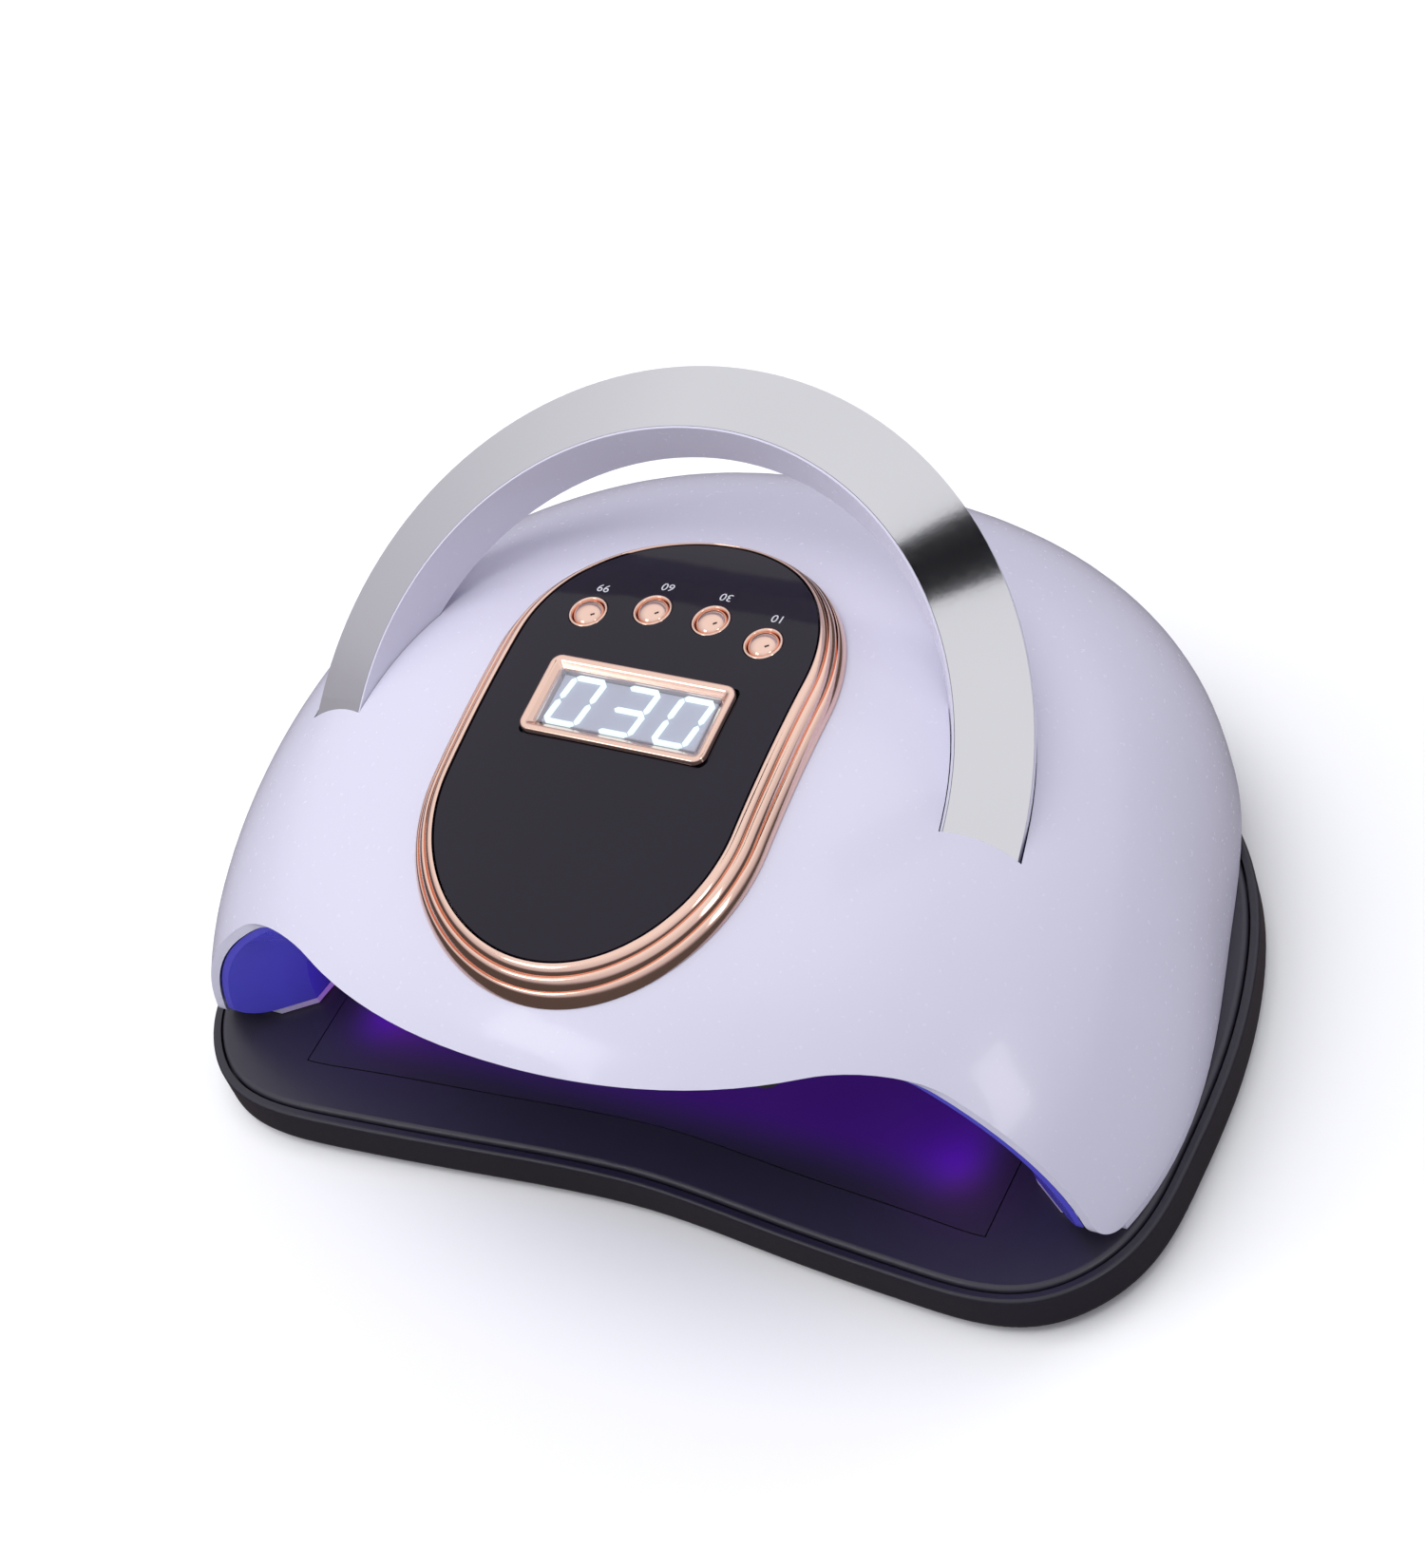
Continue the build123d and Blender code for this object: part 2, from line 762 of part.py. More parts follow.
driver_middle = (driver_front + driver_back) / 2
with BuildPart() as driver_parts:
    with BuildSketch(Plane.XY.offset(driver_top)):
        with Locations((capacitor_pitch / 2, driver_middle), (1.5 * capacitor_pitch, driver_middle)):
            Circle(capacitor_radius)
    extrude(amount=capacitor_height)
    with BuildSketch(Plane.XY.offset(driver_top)):
        with Locations((coil_x, driver_middle)):
            RectangleRounded(coil_size, coil_size, coil_corner)
    extrude(amount=coil_height)
driver_parts.part.label = "driver_parts"
export_step(driver_parts.part, "parts/driver_parts.step")

# ---------------------------------------------------------------- control panel
panel_top = arch_solid(shell_stations, panel_rise)
panel_under = arch_solid(shell_stations, panel_rise - panel_thickness)
bezel_under = arch_solid(shell_stations, bezel_seat)
display_plane = Plane(
    origin=(0, display_y, display_z),
    x_dir=(1, 0, 0),
    z_dir=(0, -math.sin(math.radians(display_tilt)), math.cos(math.radians(display_tilt))),
)
with BuildPart() as panel_plate:
    add(panel_top & panel_block(panel_half_width, panel_front_y, panel_back_y, hem_z, far))
    add(panel_under, mode=Mode.SUBTRACT)
    with BuildSketch(display_plane.offset(-frame_height)):
        RectangleRounded(
            display_width + 2 * display_fit,
            display_depth + 2 * display_fit,
            display_corner,
        )
    extrude(amount=3 * frame_height, mode=Mode.SUBTRACT)
    with BuildSketch(Plane.XY.offset(board_z)):
        with Locations(*button_places):
            Circle(collar_radius + collar_fit)
    extrude(amount=far, mode=Mode.SUBTRACT)
panel_plate.part.label = "panel_plate"
export_step(panel_plate.part, "parts/panel_plate.step")

with BuildPart() as bezel_ring:
    for rib in range(rib_count):
        grown = arch_solid(shell_stations, panel_rise + rib_lip - rib_step * rib)
        reach = rib + 1
        outline = panel_block(
            panel_half_width + panel_fit + rib_side * reach,
            panel_front_y - panel_fit - rib_front * reach,
            panel_back_y + panel_fit + rib_back * reach,
            hem_z,
            far,
        )
        add(grown & outline)
    add(bezel_under, mode=Mode.SUBTRACT)
    add(
        panel_block(
            panel_half_width - bezel_ledge,
            panel_front_y + bezel_ledge,
            panel_back_y - bezel_ledge,
            hem_z,
            far,
        ),
        mode=Mode.SUBTRACT,
    )
    seat_cut = panel_block(
        panel_half_width + panel_fit,
        panel_front_y - panel_fit,
        panel_back_y + panel_fit,
        hem_z,
        far,
    )
    add(
        seat_cut - arch_solid(shell_stations, panel_rise - panel_thickness - panel_fit),
        mode=Mode.SUBTRACT,
    )
bezel_ring.part.label = "bezel_ring"
export_step(bezel_ring.part, "parts/bezel_ring.step")

# ---------------------------------------------------------------------- display
window_width = display_width - 2 * frame_border
window_depth = display_depth - 2 * frame_border
with BuildPart() as display_frame:
    with BuildSketch(display_plane.offset(frame_rise - frame_height)):
        RectangleRounded(display_width, display_depth, display_corner)
        Rectangle(
            window_width - 2 * frame_ledge,
            window_depth - 2 * frame_ledge,
            mode=Mode.SUBTRACT,
        )
    extrude(amount=frame_height)
    with BuildSketch(display_plane.offset(frame_rise - window_drop - window_thickness - display_fit / 2)):
        Rectangle(window_width, window_depth)
    extrude(amount=frame_height, mode=Mode.SUBTRACT)
display_frame.part.label = "display_frame"
export_step(display_frame.part, "parts/display_frame.step")

with BuildPart() as display_window:
    with BuildSketch(display_plane.offset(frame_rise - window_drop - window_thickness)):
        Rectangle(window_width - display_fit, window_depth - display_fit)
    extrude(amount=window_thickness)
display_window.part.label = "display_window"
export_step(display_window.part, "parts/display_window.step")

module_top = frame_rise - window_drop - window_thickness - module_drop
with BuildPart() as display_module:
    with BuildSketch(display_plane.offset(module_top)):
        Rectangle(
            window_width - 2 * frame_ledge - module_margin,
            window_depth - 2 * frame_ledge - module_margin,
        )
    extrude(amount=-module_height)
    add(slab(-far, far, 0, board_z + board_thickness + board_gap), mode=Mode.SUBTRACT)
display_module.part.label = "display_module"
export_step(display_module.part, "parts/display_module.step")

# Seven bars: top, middle, bottom, and the four uprights.
half_high = digit_height / 2 - digit_stroke / 2
half_wide = digit_width / 2 - digit_stroke / 2
bar = digit_height / 2 - digit_bar_trim * digit_stroke
flat = digit_width - digit_flat_trim * digit_stroke
segments = {
    "a": (0, half_high, flat, digit_stroke),
    "b": (half_wide, half_high / 2, digit_stroke, bar),
    "c": (half_wide, -half_high / 2, digit_stroke, bar),
    "d": (0, -half_high, flat, digit_stroke),
    "e": (-half_wide, -half_high / 2, digit_stroke, bar),
    "f": (-half_wide, half_high / 2, digit_stroke, bar),
    "g": (0, 0, flat, digit_stroke),
}
lit = [("abcdef", -digit_pitch), ("abcdg", 0.0), ("abcdef", digit_pitch)]
lean = math.tan(math.radians(digit_slant))
with BuildPart() as display_digits:
    with BuildSketch(display_plane.offset(module_top + digit_gap)):
        for names, shift in lit:
            for name in names:
                cx, cy, wide, high = segments[name]
                half_wide = wide / 2
                half_high = high / 2
                corners = [(-half_wide, -half_high), (half_wide, -half_high)]
                corners += [(half_wide, half_high), (-half_wide, half_high)]
                leaned = [(shift + cx + u + (cy + v) * lean, cy + v) for u, v in corners]
                with BuildLine():
                    Polyline(*leaned, close=True)
                make_face()
    extrude(amount=digit_thickness)
display_digits.part.label = "display_digits"
export_step(display_digits.part, "parts/display_digits.step")

# ---------------------------------------------------------- buttons and switches
collar_low = button_seat_z - panel_thickness
flange_high = collar_low - flange_drop
button_radius = collar_radius - collar_wall - button_gap
switch_top = board_z + board_thickness + board_gap + switch_height + plunger_height
stem_low = switch_top + button_travel + button_rest_gap
with BuildPart() as button_collars:
    with BuildSketch(Plane.XY.offset(collar_low)):
        with Locations(*button_places):
            Circle(collar_radius)
            Circle(collar_radius - collar_wall, mode=Mode.SUBTRACT)
    extrude(amount=panel_thickness + collar_rise)
button_collars.part.label = "button_collars"
export_step(button_collars.part, "parts/button_collars.step")

dome_radius = (button_radius**2 + button_dome**2) / (2 * button_dome)
dome_centre_z = button_seat_z + button_dome - dome_radius
dome_middle_z = dome_centre_z + math.sqrt(dome_radius**2 - (button_radius / 2) ** 2)
for name, x, y in button_spots:
    with BuildPart() as button:
        with BuildSketch(Plane.XZ):
            with BuildLine():
                Polyline(
                    (0, stem_low),
                    (stem_radius, stem_low),
                    (stem_radius, flange_high - flange_height),
                    (button_radius + flange_extra, flange_high - flange_height),
                    (button_radius + flange_extra, flange_high),
                    (button_radius, flange_high),
                    (button_radius, button_seat_z),
                )
                ThreePointArc(
                    (button_radius, button_seat_z),
                    (button_radius / 2, dome_middle_z),
                    (0, button_seat_z + button_dome),
                )
                Line((0, button_seat_z + button_dome), (0, stem_low))
            make_face()
        revolve(axis=Axis.Z)
    placed = button.part.moved(Location((x, y, 0)))
    placed.label = name
    export_step(placed, "parts/" + name + ".step")

with BuildPart() as tact_switches:
    with BuildSketch(Plane.XY.offset(board_z + board_thickness + board_gap)):
        with Locations(*button_places):
            Rectangle(switch_size, switch_size)
    extrude(amount=switch_height)
    with BuildSketch(Plane.XY.offset(switch_top - plunger_height)):
        with Locations(*button_places):
            Circle(plunger_radius)
    extrude(amount=plunger_height)
tact_switches.part.label = "tact_switches"
export_step(tact_switches.part, "parts/tact_switches.step")

with BuildPart() as control_board:
    add(
        upright_block(
            board_half_width,
            board_front_y,
            board_back_y,
            board_z,
            board_z + board_thickness,
        )
    )
    with BuildSketch(Plane.XY.offset(board_z)):
        with Locations(*board_posts):
            Circle(screw_radius + screw_bore_gap)
    extrude(amount=board_thickness, mode=Mode.SUBTRACT)
control_board.part.label = "control_board"
export_step(control_board.part, "parts/control_board.step")

with BuildPart() as board_screws:
    with BuildSketch(Plane.XY.offset(board_z - board_gap)):
        with Locations(*board_posts):
            Circle(screw_head_radius)
    extrude(amount=-screw_head_height)
    with BuildSketch(Plane.XY.offset(board_z - board_gap)):
        with Locations(*board_posts):
            Circle(screw_radius)
    extrude(amount=board_thickness + screw_head_height)
board_screws.part.label = "board_screws"
export_step(board_screws.part, "parts/board_screws.step")

# ------------------------------------------------------------ back panel and jack
back_width = 2 * back_half_width - 2 * display_fit
back_height = back_high_z - back_low_z - 2 * display_fit
flange_y = shell_back_y - shell_wall - board_gap
with BuildPart() as back_panel:
    with BuildSketch(Plane.XZ.offset(-shell_back_y)):
        with Locations((0, back_middle_z)):
            RectangleRounded(back_width, back_height, back_corner)
    extrude(amount=shell_wall + board_gap)
    with BuildSketch(Plane.XZ.offset(-flange_y)):
        with Locations((0, back_middle_z)):
            RectangleRounded(
                back_width + 2 * back_flange_side,
                back_height + 2 * back_flange,
                back_corner,
            )
    extrude(amount=back_plate)
    with BuildSketch(Plane.XZ.offset(-shell_back_y)):
        with Locations((vent_x + (vent_count - 1) * vent_pitch / 2, back_middle_z)):
            with GridLocations(vent_pitch, 0, vent_count, 1):
                SlotOverall(vent_height, vent_width, rotation=90)
        with Locations((jack_x, back_middle_z)):
            Circle(jack_collar_radius + display_fit)
    extrude(amount=2 * shell_wall + back_plate, mode=Mode.SUBTRACT)
    with BuildSketch(Plane.XZ.offset(-flange_y)):
        with Locations(*back_screw_spots):
            Circle(screw_radius + screw_bore_gap)
    extrude(amount=back_plate, mode=Mode.SUBTRACT)
back_panel.part.label = "back_panel"
export_step(back_panel.part, "parts/back_panel.step")

with BuildPart() as back_screws:
    screw_seat_y = flange_y - back_plate - board_gap
    with BuildSketch(Plane.XZ.offset(-screw_seat_y)):
        with Locations(*back_screw_spots):
            Circle(screw_head_radius)
    extrude(amount=screw_head_height)
    with BuildSketch(Plane.XZ.offset(-screw_seat_y)):
        with Locations(*back_screw_spots):
            Circle(screw_radius)
    extrude(amount=-back_plate - 2 * board_gap - back_screw_bite)
back_screws.part.label = "back_screws"
export_step(back_screws.part, "parts/back_screws.step")

jack_face_y = flange_y - back_plate - board_gap
with BuildPart() as dc_jack:
    with BuildSketch(Plane.XZ.offset(-(shell_back_y + jack_collar_rise))):
        with Locations((jack_x, back_middle_z)):
            Circle(jack_collar_radius)
    extrude(amount=shell_back_y + jack_collar_rise - jack_face_y)
    with BuildSketch(Plane.XZ.offset(-jack_face_y)):
        with Locations((jack_x, back_middle_z)):
            Rectangle(jack_size + jack_body_extra, jack_size)
    extrude(amount=jack_length)
    with BuildSketch(Plane.XZ.offset(-(shell_back_y + jack_collar_rise))):
        with Locations((jack_x, back_middle_z)):
            Circle(jack_bore_radius)
    extrude(amount=jack_bore_depth, mode=Mode.SUBTRACT)
dc_jack.part.label = "dc_jack"
export_step(dc_jack.part, "parts/dc_jack.step")

pin_root_y = shell_back_y + jack_collar_rise - jack_bore_depth + lead_gap
with BuildPart() as jack_pin:
    with BuildSketch(Plane.XZ.offset(-pin_root_y)):
        with Locations((jack_x, back_middle_z)):
            Circle(jack_pin_radius)
    extrude(amount=-jack_pin_length + 2 * lead_gap)
jack_pin.part.label = "jack_pin"
export_step(jack_pin.part, "parts/jack_pin.step")

# ------------------------------------------------------------------- hand sensor
visor_under = arch_solid(shell_stations, -shell_wall - board_gap)
with BuildPart() as sensor_eye:
    with BuildSketch(Plane.XY.offset(hem_z - sensor_hang)):
        with Locations((sensor_x, sensor_y)):
            Circle(sensor_radius)
    extrude(amount=far)
    add(visor_under, mode=Mode.INTERSECT)
sensor_eye.part.label = "sensor_eye"
export_step(sensor_eye.part, "parts/sensor_eye.step")

# ------------------------------------------------------------------------- base
tray_low_z = foot_height - foot_seat_depth
with BuildPart() as base_tray:
    add(base_block(0, tray_low_z, tray_rim_z))
    fillet(base_tray.faces().sort_by(Axis.Z)[0].edges(), radius=tray_edge_round)
    fillet(base_tray.faces().sort_by(Axis.Z)[-1].edges(), radius=tray_top_round)
    add(base_block(tray_rim, ledge_z, tray_rim_z + 1), mode=Mode.SUBTRACT)
    add(base_block(tray_rim + tray_ledge_width, tray_low_z + tray_floor, tray_rim_z), mode=Mode.SUBTRACT)
    with BuildSketch(Plane.XY.offset(tray_low_z)):
        with Locations(*tray_screw_spots):
            Circle(tray_boss_radius)
    extrude(amount=ledge_z - tray_low_z)
    with BuildSketch(Plane.XY.offset(tray_low_z)):
        with Locations(*tray_screw_spots):
            Circle(screw_radius + screw_bore_gap)
    extrude(amount=ledge_z - tray_low_z, mode=Mode.SUBTRACT)
    with BuildSketch(Plane.XY.offset(tray_low_z)):
        with Locations(*tray_screw_spots):
            Circle(screw_head_radius + screw_head_gap)
        with Locations(*foot_spots):
            Circle(foot_radius + foot_seat_gap)
    extrude(amount=foot_seat_depth, mode=Mode.SUBTRACT)
    with BuildSketch(Plane.XY.offset(tray_low_z)):
        with Locations(*tray_screw_spots):
            Circle(screw_head_radius + screw_head_gap)
    extrude(amount=screw_head_height + screw_head_gap, mode=Mode.SUBTRACT)
base_tray.part.label = "base_tray"
export_step(base_tray.part, "parts/base_tray.step")

with BuildPart() as rubber_feet:
    with BuildSketch():
        with Locations(*foot_spots):
            Circle(foot_radius)
    extrude(amount=foot_height)
rubber_feet.part.label = "rubber_feet"
export_step(rubber_feet.part, "parts/rubber_feet.step")

sheet_low_z = plate_top_z - sheet_thickness
with BuildPart() as base_plate:
    add(base_block(tray_rim + plate_gap, ledge_z + plate_seat_gap, plate_top_z))
    fillet(base_plate.faces().sort_by(Axis.Z)[-1].edges(), radius=plate_edge_round)
    sheet_seat = base_block(sheet_inset - sheet_clearance, sheet_low_z, far)
    seat_back_y = sheet_back_y + sheet_clearance
    seat_half_width = sheet_half_width + sheet_clearance
    add(
        sheet_seat & upright_block(seat_half_width, -far, seat_back_y, 0, far),
        mode=Mode.SUBTRACT,
    )
    with BuildSketch(Plane.XY.offset(plate_top_z)):
        with Locations(*magnet_spots):
            Circle(magnet_radius + magnet_gap)
    extrude(amount=-magnet_height - magnet_gap, mode=Mode.SUBTRACT)
    with BuildSketch(Plane.XY.offset(ledge_z)):
        with Locations(*tray_screw_spots):
            Circle(screw_radius + screw_bore_gap)
    extrude(amount=tray_screw_bite + magnet_gap, mode=Mode.SUBTRACT)
base_plate.part.label = "base_plate"
export_step(base_plate.part, "parts/base_plate.step")

with BuildPart() as reflector_sheet:
    add(base_block(sheet_inset, sheet_low_z + magnet_gap, plate_top_z))
    add(
        upright_block(sheet_half_width, -far, sheet_back_y, 0, far),
        mode=Mode.INTERSECT,
    )
reflector_sheet.part.label = "reflector_sheet"
export_step(reflector_sheet.part, "parts/reflector_sheet.step")

with BuildPart() as base_magnets:
    with BuildSketch(Plane.XY.offset(plate_top_z)):
        with Locations(*magnet_spots):
            Circle(magnet_radius)
    extrude(amount=-magnet_height)
base_magnets.part.label = "base_magnets"
export_step(base_magnets.part, "parts/base_magnets.step")

with BuildPart() as tray_screws:
    screw_seat_z = tray_low_z + screw_head_gap
    with BuildSketch(Plane.XY.offset(screw_seat_z)):
        with Locations(*tray_screw_spots):
            Circle(screw_head_radius)
    extrude(amount=screw_head_height)
    with BuildSketch(Plane.XY.offset(screw_seat_z)):
        with Locations(*tray_screw_spots):
            Circle(screw_radius)
    extrude(amount=ledge_z + tray_screw_bite - screw_seat_z)
tray_screws.part.label = "tray_screws"
export_step(tray_screws.part, "parts/tray_screws.step")
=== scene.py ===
import bpy
import bmesh
import math
from mathutils import Matrix, Vector
from mathutils.bvhtree import BVHTree


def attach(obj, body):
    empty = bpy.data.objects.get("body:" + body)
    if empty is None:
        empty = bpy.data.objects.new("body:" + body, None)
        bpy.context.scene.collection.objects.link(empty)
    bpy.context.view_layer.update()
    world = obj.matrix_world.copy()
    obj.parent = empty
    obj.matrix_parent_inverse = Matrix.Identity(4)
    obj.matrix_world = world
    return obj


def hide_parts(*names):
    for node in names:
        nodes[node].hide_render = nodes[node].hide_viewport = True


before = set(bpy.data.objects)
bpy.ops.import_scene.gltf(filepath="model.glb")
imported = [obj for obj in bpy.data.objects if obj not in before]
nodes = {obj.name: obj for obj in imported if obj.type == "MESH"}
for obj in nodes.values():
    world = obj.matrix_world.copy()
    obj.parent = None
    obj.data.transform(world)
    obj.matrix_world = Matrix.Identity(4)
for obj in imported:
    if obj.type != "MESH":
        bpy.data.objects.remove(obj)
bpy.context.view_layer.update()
mm = 0.001

# The room: a pale studio table under one broad soft light overhead, one to the left and a
# weaker one behind. A dark card and two bright ones stand where only glossy pieces mirror them.
camera_data = bpy.data.cameras.new("view_camera")
camera = bpy.data.objects.new("view_camera", camera_data)
bpy.context.scene.collection.objects.link(camera)
camera_right = (0.87075, 0.42292, -0.25088)
camera_up = (-0.17363, 0.74176, 0.64780)
camera_back = (0.46006, -0.52051, 0.71932)
camera_place = (0.36929, -0.40286, 0.61740)
camera.matrix_world = Matrix(
    [[camera_right[i], camera_up[i], camera_back[i], camera_place[i]] for i in range(3)]
    + [[0, 0, 0, 1]]
)
camera_data.sensor_fit = "HORIZONTAL"
camera_data.sensor_width = 36.0
camera_data.lens = 90.19
camera_data.shift_x = -0.0399
camera_data.shift_y = -0.0150
camera_data.clip_start = 0.01
bpy.context.scene.camera = camera
bpy.context.scene.view_settings.view_transform = "Standard"

room = bpy.data.worlds.new("pale_room")
bpy.context.scene.world = room
room.use_nodes = True
room_light = room.node_tree.nodes["Background"]
room_light.inputs["Color"].default_value = (0.93, 0.94, 1.0, 1)
room_light.inputs["Strength"].default_value = 0.60
room_link = room.node_tree.links.new
room_seen = room.node_tree.nodes.new("ShaderNodeBackground")
room_height = room.node_tree.nodes.new("ShaderNodeTexCoord")
room_axes = room.node_tree.nodes.new("ShaderNodeSeparateXYZ")
room_shade = room.node_tree.nodes.new("ShaderNodeValToRGB")
room_shade.color_ramp.elements[0].position = 0.02
room_shade.color_ramp.elements[0].color = (0.10, 0.085, 0.08, 1)
room_shade.color_ramp.elements[1].position = 0.75
room_shade.color_ramp.elements[1].color = (1, 1, 1, 1)
room_middle = room_shade.color_ramp.elements.new(0.2)
room_middle.color = (0.66, 0.64, 0.68, 1)
room_link(room_height.outputs["Generated"], room_axes.inputs["Vector"])
room_link(room_axes.outputs["Z"], room_shade.inputs["Fac"])
room_white = room.node_tree.nodes.new("ShaderNodeMix")
room_white.data_type = "RGBA"
room_white.inputs["B"].default_value = (1, 1, 1, 1)
room_link(room_shade.outputs["Color"], room_white.inputs["A"])
room_link(room_white.outputs["Result"], room_seen.inputs["Color"])
room_path = room.node_tree.nodes.new("ShaderNodeLightPath")
room_mix = room.node_tree.nodes.new("ShaderNodeMixShader")
room_mirrored = room.node_tree.nodes.new("ShaderNodeMath")
room_mirrored.operation = "MAXIMUM"
room_link(room_path.outputs["Is Camera Ray"], room_white.inputs["Factor"])
room_link(room_path.outputs["Is Camera Ray"], room_mirrored.inputs[0])
room_link(room_path.outputs["Is Glossy Ray"], room_mirrored.inputs[1])
room_through = room.node_tree.nodes.new("ShaderNodeMath")
room_through.operation = "MAXIMUM"
room_link(room_mirrored.outputs[0], room_through.inputs[0])
room_link(room_path.outputs["Is Transmission Ray"], room_through.inputs[1])
room_link(room_through.outputs[0], room_mix.inputs[0])
room_link(room_light.outputs[0], room_mix.inputs[1])
room_link(room_seen.outputs[0], room_mix.inputs[2])
room_link(room_mix.outputs[0], room.node_tree.nodes["World Output"].inputs["Surface"])


def soft_box(name, place, aim, width, height, power):
    lamp = bpy.data.lights.new(name, "AREA")
    lamp.shape = "RECTANGLE"
    lamp.size = width
    lamp.size_y = height
    lamp.energy = power
    holder = bpy.data.objects.new(name, lamp)
    bpy.context.scene.collection.objects.link(holder)
    holder.location = place
    facing = Vector(aim) - Vector(place)
    holder.rotation_euler = facing.to_track_quat("-Z", "Y").to_euler()
    holder.visible_glossy = False


soft_box("top_soft_box", (-0.25, -0.10, 1.3), (0, 0, 0.05), 1.2, 1.2, 9.5)
soft_box("left_soft_box", (-1.1, -0.5, 0.7), (0, 0, 0.06), 0.9, 0.9, 5.0)
soft_box("back_soft_box", (0.5, 1.2, 0.7), (0, 0, 0.08), 0.9, 0.7, 4.5)

card_black = bpy.data.materials.new("card_black")
card_black.use_nodes = True
card_shader = card_black.node_tree.nodes["Principled BSDF"]
card_shader.inputs["Base Color"].default_value = (0.01, 0.01, 0.012, 1)
card_shader.inputs["Roughness"].default_value = 0.9
card_shader.inputs["Specular IOR Level"].default_value = 0.0


def mirror_card(name, place, aim, width, height, finish):
    card_mesh = bpy.data.meshes.new(name)
    w = width / 2
    h = height / 2
    card_mesh.from_pydata([(-w, -h, 0), (w, -h, 0), (w, h, 0), (-w, h, 0)], [], [(0, 1, 2, 3)])
    card_mesh.materials.append(finish)
    card = bpy.data.objects.new(name, card_mesh)
    bpy.context.scene.collection.objects.link(card)
    card.location = place
    facing = Vector(aim) - Vector(place)
    card.rotation_euler = facing.to_track_quat("Z", "Y").to_euler()
    card.visible_camera = False
    card.visible_diffuse = False
    card.visible_shadow = False


mirror_card("overhead_card", (0.150, 0.110, 0.90), (0.058, 0.023, 0.11), 0.16, 0.32, card_black)

card_lit = bpy.data.materials.new("card_lit")
card_lit.use_nodes = True
lit_shader = card_lit.node_tree.nodes["Principled BSDF"]
lit_shader.inputs["Emission Color"].default_value = (1.0, 0.97, 0.92, 1)
lit_shader.inputs["Emission Strength"].default_value = 3.2
mirror_card("bright_card", (-0.42, -0.75, 0.60), (0, -0.05, 0.09), 0.30, 0.22, card_lit)
mirror_card("slim_card", (0.75, -0.35, 0.42), (0.03, -0.03, 0.09), 0.16, 0.30, card_lit)

table_mesh = bpy.data.meshes.new("table_top")
table_reach = 6.0
table_corners = [
    (-table_reach, -table_reach, 0),
    (table_reach, -table_reach, 0),
    (table_reach, table_reach, 0),
    (-table_reach, table_reach, 0),
]
table_mesh.from_pydata(table_corners, [], [(0, 1, 2, 3)])
table = bpy.data.objects.new("table_top", table_mesh)
bpy.context.scene.collection.objects.link(table)
table_finish = bpy.data.materials.new("table_finish")
table_finish.use_nodes = True
table_shader = table_finish.node_tree.nodes["Principled BSDF"]
table_shader.inputs["Base Color"].default_value = (0.97, 0.97, 0.98, 1)
table_shader.inputs["Roughness"].default_value = 0.6
table_shader.inputs["Specular IOR Level"].default_value = 0.2
table_mesh.materials.append(table_finish)
table.visible_glossy = False


# The base tray: the dark moulded plastic bottom of the loose base, satin with a fine
# grain. Its rim stands round the base plate, and it lies on five rubber feet.
def moulding(name, colour, gloss, grain_size, grain_depth, drift, coat=0.0):
    finish = bpy.data.materials.new(name)
    finish.use_nodes = True
    tree = finish.node_tree
    shader = tree.nodes["Principled BSDF"]
    shader.inputs["Coat Weight"].default_value = coat
    shader.inputs["Coat Roughness"].default_value = 0.08
    place = tree.nodes.new("ShaderNodeTexCoord")
    grain = tree.nodes.new("ShaderNodeTexNoise")
    grain.inputs["Scale"].default_value = 1.0 / grain_size
    grain.inputs["Detail"].default_value = 4.0
    tree.links.new(place.outputs["Object"], grain.inputs["Vector"])
    cloud = tree.nodes.new("ShaderNodeTexNoise")
    cloud.inputs["Scale"].default_value = 14.0
    cloud.inputs["Detail"].default_value = 3.0
    tree.links.new(place.outputs["Object"], cloud.inputs["Vector"])
    tint = tree.nodes.new("ShaderNodeValToRGB")
    tint.color_ramp.elements[0].position = 0.3
    tint.color_ramp.elements[1].position = 0.7
    tint.color_ramp.elements[0].color = [c * (1 - drift) for c in colour] + [1]
    tint.color_ramp.elements[1].color = [min(1, c * (1 + drift)) for c in colour] + [1]
    tree.links.new(cloud.outputs["Fac"], tint.inputs["Fac"])
    tree.links.new(tint.outputs["Color"], shader.inputs["Base Color"])
    sheen = tree.nodes.new("ShaderNodeMapRange")
    sheen.inputs["To Min"].default_value = gloss * 0.85
    sheen.inputs["To Max"].default_value = gloss * 1.15
    tree.links.new(grain.outputs["Fac"], sheen.inputs["Value"])
    tree.links.new(sheen.outputs["Result"], shader.inputs["Roughness"])
    relief = tree.nodes.new("ShaderNodeBump")
    relief.inputs["Strength"].default_value = 0.3
    relief.inputs["Distance"].default_value = grain_depth
    tree.links.new(grain.outputs["Fac"], relief.inputs["Height"])
    tree.links.new(relief.outputs["Normal"], shader.inputs["Normal"])
    return finish


def dress(finish, *names):
    for name in names:
        piece = nodes[name]
        for seat in piece.material_slots:
            seat.link = "OBJECT"
            seat.material = finish


tray_plastic = moulding("tray_plastic", (0.016, 0.014, 0.024), 0.36, 0.0008, 0.00003, 0.08)
dress(tray_plastic, "base_tray")

# The base plate: the dark lid of the base, which the lamp's shell stands on. It is the same satin
# plastic, painted a little lighter than the tray for the light its top face catches, and sits in the
# rim with a thin groove round it.
# Painted light: the tray's plastic made lighter for the plate's top face.
plate_plastic_painted_lighter = moulding("plate_plastic_painted_lighter", (0.026, 0.023, 0.036), 0.34, 0.0008, 0.00003, 0.08)
dress(plate_plastic_painted_lighter, "base_plate")
